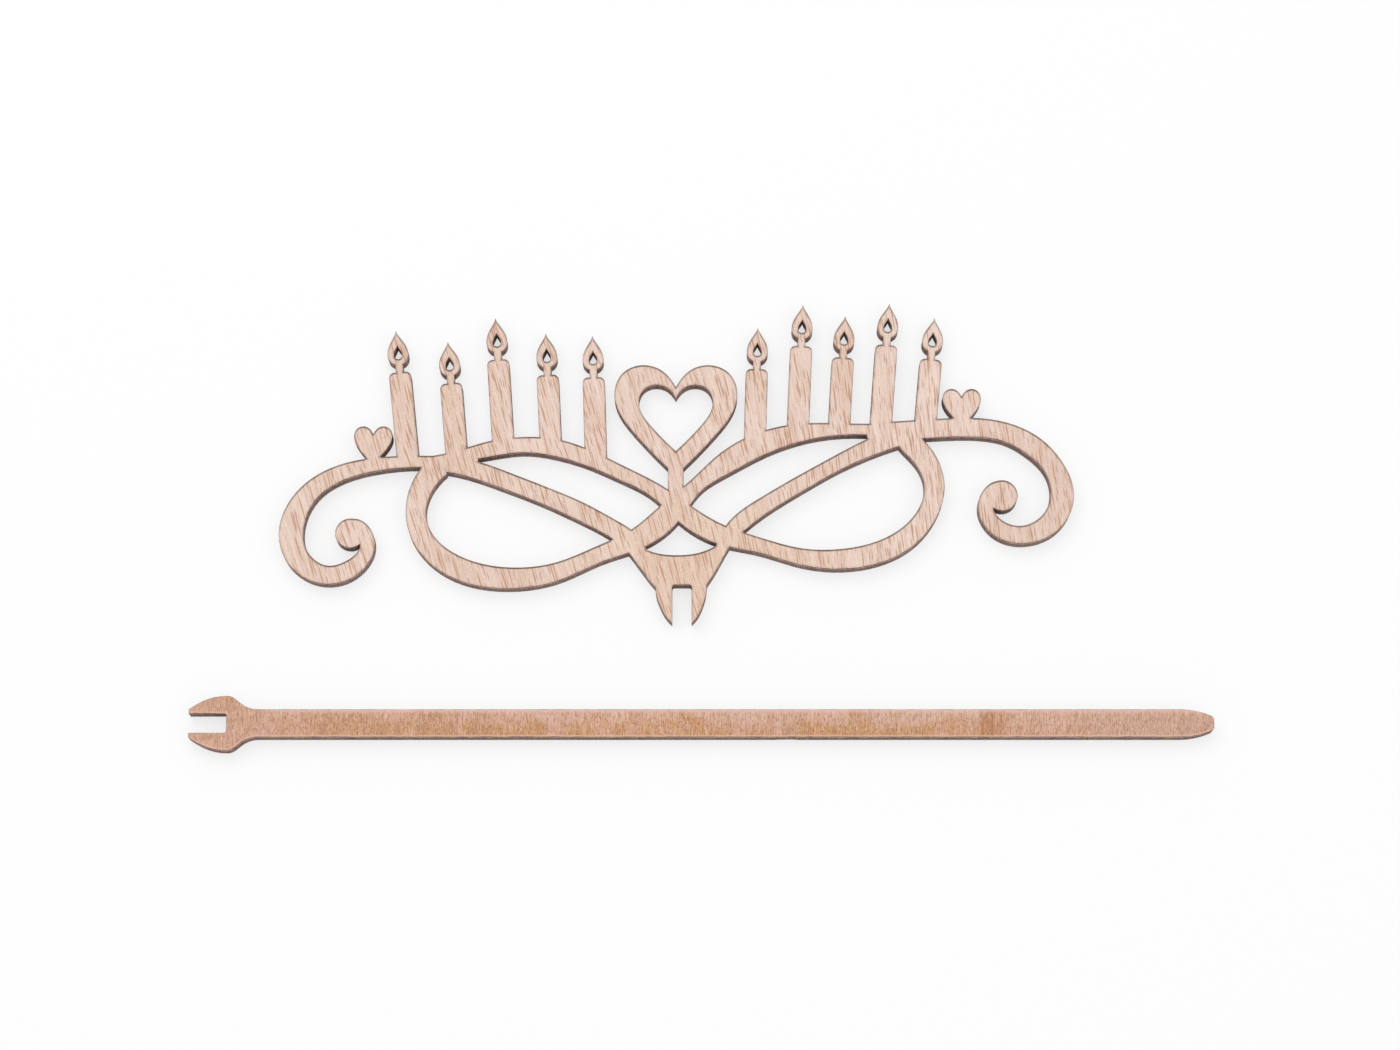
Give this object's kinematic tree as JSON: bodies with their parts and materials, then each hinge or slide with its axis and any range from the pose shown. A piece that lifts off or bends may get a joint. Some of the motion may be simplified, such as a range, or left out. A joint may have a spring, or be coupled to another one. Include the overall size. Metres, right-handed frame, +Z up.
{
  "type": "cake topper",
  "caption": "Flat plywood cake topper: a scrolled plaque with candles and hearts and a forked foot, and a slotted stick that takes the foot and is pushed into a cake.",
  "frame": {"origin": "middle of the two pieces' layout, on the table that they lie on", "axes": "+X along the stick towards its tip, +Y from the stick towards the plaque's candles, +Z up from the table"},
  "size_m": [0.168, 0.076, 0.003],
  "materials": {
    "plaque_veneer": "bare sanded veneer with scorched edges",
    "plaque_core": "scorched ply edge",
    "stick_veneer": "bare sanded veneer with scorched edges",
    "stick_core": "scorched ply edge"
  },
  "bodies": {
    "plaque": {"plaque_front_veneer": "plaque_veneer", "plaque_core_ply": "plaque_core", "plaque_back_veneer": "plaque_veneer"},
    "stick": {"stick_front_veneer": "stick_veneer", "stick_core_ply": "stick_core", "stick_back_veneer": "stick_veneer"}
  },
  "joints": [
    {"name": "stick_slide", "type": "slide", "parent": "plaque", "child": "stick", "axis": [0, 1, 0], "range_m": [-0.05, 0.013]}
  ]
}
